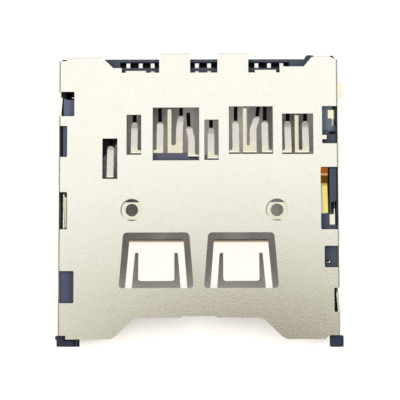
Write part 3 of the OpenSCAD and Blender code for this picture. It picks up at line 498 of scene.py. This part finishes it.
black = plastic("slider_plastic", (0.008, 0.01, 0.018), (0.014, 0.016, 0.026), 0.4, 0.4)

# The nodes that aren't plain contacts
OF_NODE = {"shell": sheet, "housing": navy, "slider": black, "card_lock_spring": steel, "cam_pin": bright,
           "coil_spring": coil, "protect_switch_leaf": gold, "protect_switch_terminal": cream}


def dress(obj, shader):
    obj.data.materials.clear()
    obj.data.materials.append(shader.material)


for name, obj in nodes.items():
    dress(obj, OF_NODE.get(name, strip))


# ---------------------------------------------------------------- the coil spring

COIL_TURNS = 9
WIRE_R = 0.08 * MM
# Steps of the helix in each turn, and corners of the wire's round section
TURN_STEPS = 32
WIRE_SIDES = 12


def add_coil():
    """The coil spring, rounder than the CAD's."""
    node = nodes["coil_spring"]
    corners = [node.matrix_world @ v.co for v in node.data.vertices]
    low = [min(c[i] for c in corners) for i in range(3)]
    high = [max(c[i] for c in corners) for i in range(3)]
    x, z = (low[0] + high[0]) / 2, (low[2] + high[2]) / 2
    radius = (high[0] - low[0]) / 2 - WIRE_R
    first, last = low[1] + WIRE_R, high[1] - WIRE_R
    pitch = (last - first) / COIL_TURNS
    lean = math.atan2(pitch, math.tau * radius)
    section = [math.tau * k / WIRE_SIDES for k in range(WIRE_SIDES)]
    mesh = bmesh.new()
    rings = []
    for i in range(COIL_TURNS * TURN_STEPS + 1):
        angle = math.tau * i / TURN_STEPS
        out = Vector((math.cos(angle), 0, math.sin(angle)))
        side = Vector((math.sin(angle) * math.sin(lean), math.cos(lean), -math.cos(angle) * math.sin(lean)))
        middle = Vector((x, first + pitch * i / TURN_STEPS, z)) + radius * out
        rings.append([mesh.verts.new(middle + WIRE_R * (math.cos(t) * out + math.sin(t) * side)) for t in section])
    for a, b in zip(rings, rings[1:]):
        for k in range(WIRE_SIDES):
            after = (k + 1) % WIRE_SIDES
            mesh.faces.new((a[k], a[after], b[after], b[k]))
    mesh.faces.new(rings[0])
    mesh.faces.new(rings[-1][::-1])
    bmesh.ops.recalc_face_normals(mesh, faces=mesh.faces[:])
    data = bpy.data.meshes.new("coil_wire")
    mesh.to_mesh(data)
    data.polygons.foreach_set("use_smooth", [True] * len(data.polygons))
    obj = bpy.data.objects.new("coil_wire", data)
    bpy.context.scene.collection.objects.link(obj)
    dress(obj, coil)
    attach(obj, "socket")
    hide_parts("coil_spring")
    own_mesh(obj)


add_coil()


# ---------------------------------------------------------------- floor, light and camera

FLOOR_HALF = 1.5
FLOOR_Z = -0.6 * MM
PAPER = ((0.3, (0.87, 0.83, 0.78)), (0.7, (0.91, 0.87, 0.82)))


def add_floor():
    mesh = bpy.data.meshes.new("floor")
    corners = [(x * FLOOR_HALF, y * FLOOR_HALF, FLOOR_Z) for x, y in ((-1, -1), (1, -1), (1, 1), (-1, 1))]
    mesh.from_pydata(corners, [], [(0, 1, 2, 3)])
    floor = bpy.data.objects.new("floor", mesh)
    bpy.context.scene.collection.objects.link(floor)
    s = Shader("floor_paper")
    s.link(s.ramp(s.noise(400, 2), PAPER), s.bsdf.inputs["Base Color"])
    s.set("Roughness", 0.8)
    s.set("Specular IOR Level", 0.2)
    mesh.materials.append(s.material)


# Two lamps low at the sides, which light the floor without reaching into the slots.
# They aren't seen in reflections, which show the surround alone.
LAMPS = (("left", -1), ("right", 1))
LAMP_AWAY, LAMP_UP = 0.405, 0.215
LAMP_SIZE = (0.6, 0.2)
LAMP_POWER = 4.4


def add_lamp(name, side):
    light = bpy.data.lights.new(name, "AREA")
    light.shape = "RECTANGLE"
    light.size, light.size_y = LAMP_SIZE
    light.energy = LAMP_POWER
    lamp = bpy.data.objects.new(name, light)
    lamp.location = (LAMP_AWAY * side, 0, LAMP_UP)
    lamp.rotation_euler = (-lamp.location).to_track_quat("-Z", "Y").to_euler()
    lamp.visible_glossy = False
    bpy.context.scene.collection.objects.link(lamp)


def grey(value):
    return (value, value, value)


# The surround's brightness by the height of the direction
SKY = ((0.0, grey(0.5)), (0.12, grey(0.45)), (0.22, grey(0.5)), (0.32, grey(0.75)), (0.5, grey(0.85)),
       (0.9, grey(1.0)), (0.94, (1.2, 1.2, 1.22)), (0.975, (1.12, 1.12, 1.11)))
# The share of it that is left from the front (0) to the middle (1), low down and high up, and the share
# from the middle (0) out to the sides (1)
FRONT_LOW = ((0.0, (0.26, 0.245, 0.2)), (0.12, (0.28, 0.265, 0.22)), (0.3, (0.62, 0.62, 0.61)),
             (0.6, grey(0.9)), (0.92, grey(1)))
FRONT_HIGH = ((0.0, grey(0.12)), (0.45, (0.14, 0.13, 0.12)), (0.62, (0.26, 0.25, 0.22)),
              (0.8, (0.85, 0.84, 0.82)), (0.92, grey(1)))
SIDES = ((0.0, grey(1)), (0.2, grey(1)), (0.45, grey(0.15)))
# The heights over which each of these sets in
FRONT_LOW_Z, FRONT_HIGH_Z, SIDES_Z = (0.14, 0.2), (0.42, 0.6), (0.5, 0.72)
# The darker place over the camera: its middle, its reach each way, and its shade outwards
DARK_AT = (0.042, -0.085, 1.0)
DARK_REACH = (0.42, 0.22)
DARK = ((0.0, (0.13, 0.105, 0.075)), (0.175, (0.23, 0.2, 0.145)), (0.35, (0.56, 0.535, 0.455)),
        (0.5, (0.79, 0.775, 0.72)), (0.75, (0.97, 0.965, 0.955)), (1.0, (1.05, 1.05, 1.045)))


def add_surround():
    """The studio's surround: white above, and darker in front, high up at the sides and over the camera."""
    world = bpy.data.worlds.new("studio")
    world.use_nodes = True
    n = Nodes(world.node_tree)
    background = n.tree.nodes["Background"]
    direction = n.add("ShaderNodeTexCoord").outputs["Generated"]
    x, y, z = n.split(direction)

    def shade(value, stops):
        return n.ramp(value, stops, "EASE")

    def times(a, b, heights=None):
        return n.mix(n.spread(z, 0, 1, *heights) if heights else 1, a, b, "MULTIPLY")

    forward = n.spread(y, 0, 1, -1.0, 0.0)
    colour = times(shade(z, SKY), shade(forward, FRONT_LOW), FRONT_LOW_Z)
    colour = times(colour, shade(forward, FRONT_HIGH), FRONT_HIGH_Z)
    colour = times(colour, shade(n.size(x), SIDES), SIDES_Z)
    from_dark = n.vector("MULTIPLY", n.vector("SUBTRACT", direction, DARK_AT),
                         (1 / DARK_REACH[0], 1 / DARK_REACH[1], 1))
    colour = times(colour, shade(n.vector("LENGTH", from_dark), DARK))
    n.link(colour, background.inputs["Color"])
    background.inputs["Strength"].default_value = 1
    bpy.context.scene.world = world


# The photo's viewing angle: nearly straight down, from a little in front. FIELD is the width of what it sees.
TARGET = Vector((0.000132, 0.000090, 0.0032))
ELEVATION = math.radians(85.77)
DISTANCE = 0.11
ROLL = math.radians(-0.132)
FIELD = 0.038544
SENSOR = 36


def add_camera():
    data = bpy.data.cameras.new("camera")
    data.sensor_width = SENSOR
    data.lens = SENSOR * DISTANCE / FIELD
    data.clip_start = 0.001
    camera = bpy.data.objects.new("camera", data)
    camera.location = TARGET + DISTANCE * Vector((0, -math.cos(ELEVATION), math.sin(ELEVATION)))
    camera.rotation_mode = "QUATERNION"
    camera.rotation_quaternion = (Matrix.Rotation(math.radians(90) - ELEVATION, 3, "X")
                                  @ Matrix.Rotation(ROLL, 3, "Z")).to_quaternion()
    bpy.context.scene.collection.objects.link(camera)
    bpy.context.scene.camera = camera


bpy.context.scene.view_settings.view_transform = "Standard"
add_floor()
add_surround()
for name, side in LAMPS:
    add_lamp(name, side)
add_camera()
